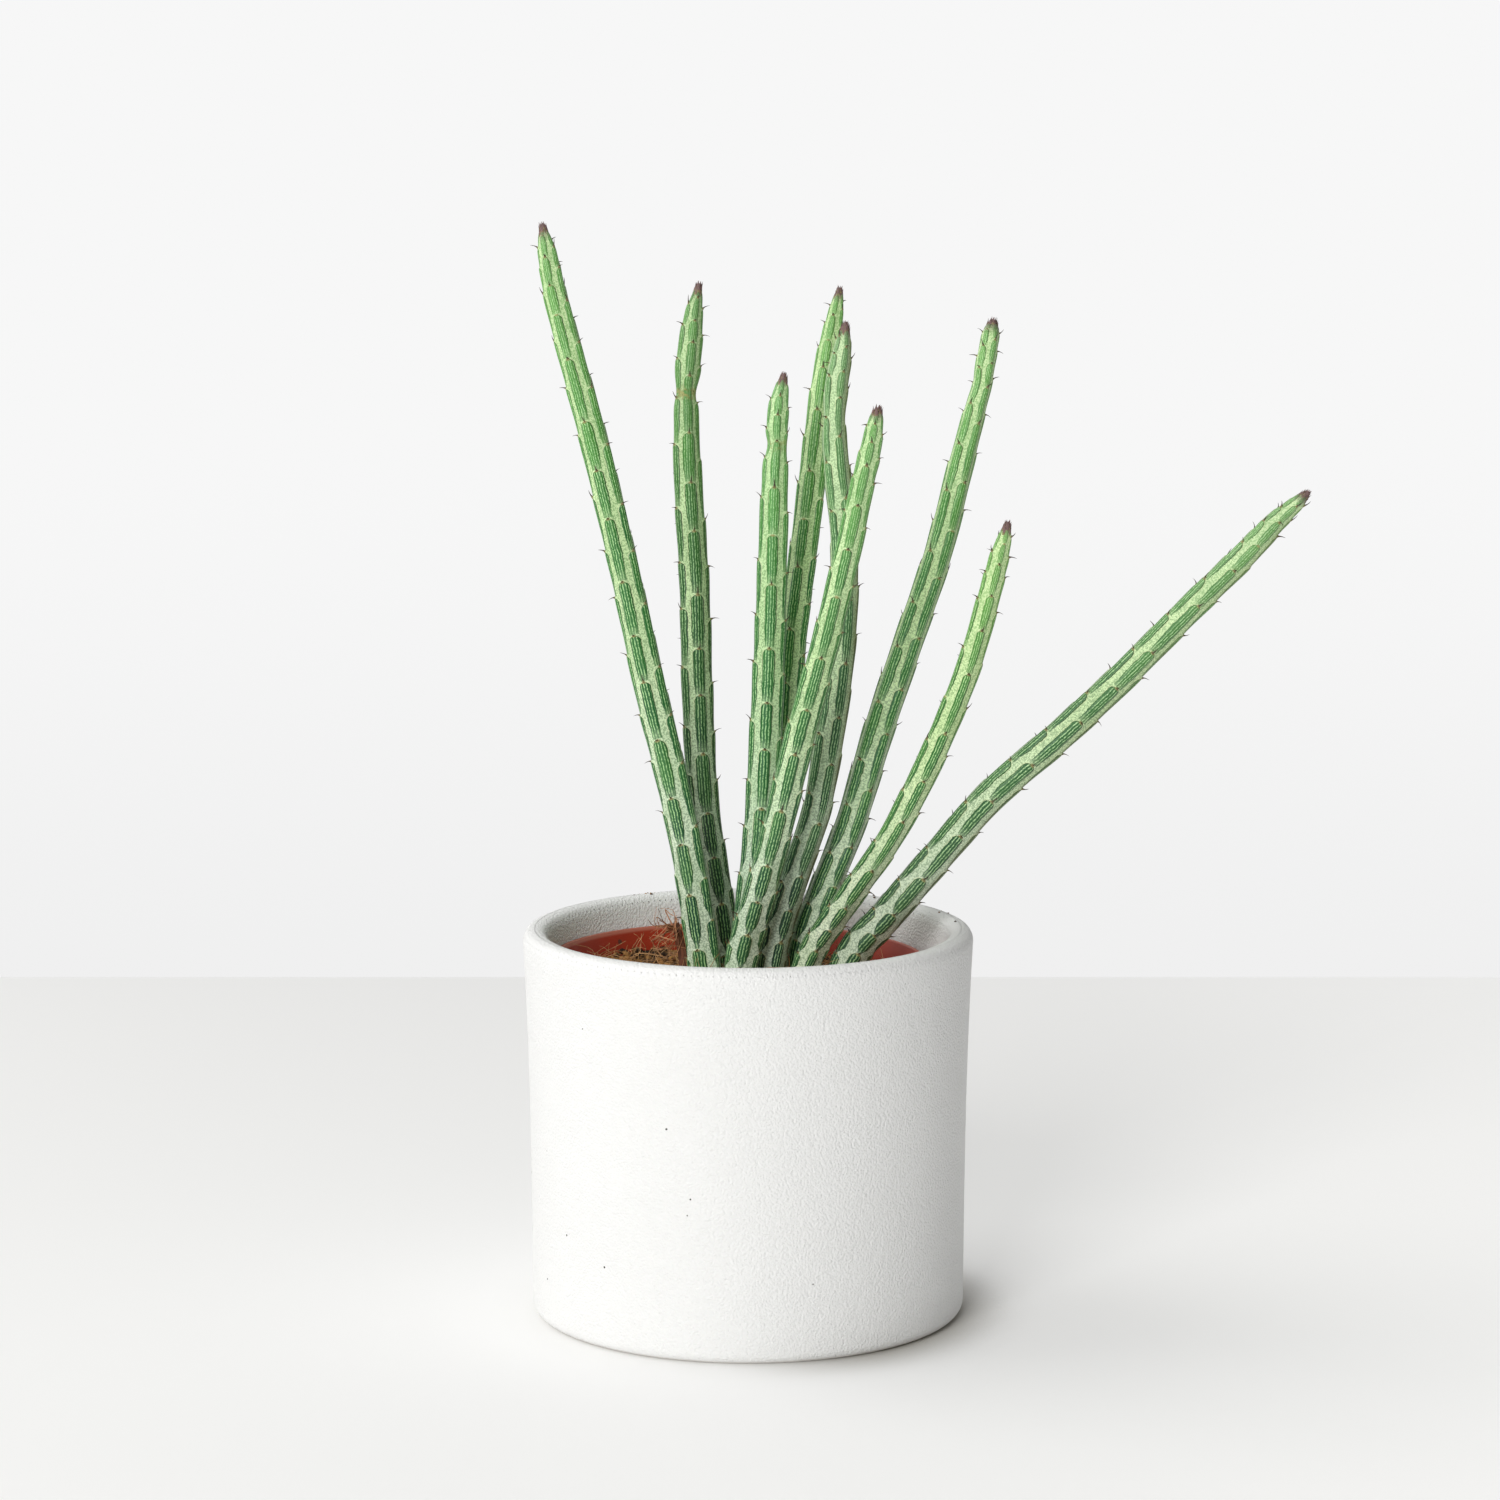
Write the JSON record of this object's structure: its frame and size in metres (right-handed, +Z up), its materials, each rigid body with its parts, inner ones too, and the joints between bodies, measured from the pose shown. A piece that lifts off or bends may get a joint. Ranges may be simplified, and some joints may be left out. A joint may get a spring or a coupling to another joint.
{
  "type": "potted pickle plant",
  "caption": "Potted pickle plant: slim patterned succulent stems fan out of a plastic nursery pot that stands in a straight-sided matte white ceramic cover pot.",
  "frame": {"origin": "centre of the cover pot's flat underside, on the surface that the pot stands on", "axes": "+Z up through the pot; +X towards the side that the longest leaning stem points to; -Y towards the front"},
  "size_m": [0.24, 0.14, 0.3365],
  "materials": {
    "white_ceramic": "matte white with a fine orange-peel texture and a few dark specks",
    "terracotta_plastic": "satin terracotta-red thin plastic",
    "coir_peat": "rough brown crumbs and fibres",
    "stem_skin": "waxy green skin with darker leaf bases and silvery valleys",
    "dry_stalk": "dry, fibrous, dull brown"
  },
  "bodies": {
    "root": {"cover_pot": "white_ceramic", "nursery_pot": "terracotta_plastic", "potting_mix": "coir_peat", "stem_1": "stem_skin", "stem_2": "stem_skin", "stem_3": "stem_skin", "stem_4": "stem_skin", "stem_5": "stem_skin", "stem_6": "stem_skin", "stem_7": "stem_skin", "stem_8": "stem_skin", "stem_9": "stem_skin", "dry_stalk": "dry_stalk"}
  },
  "joints": []
}
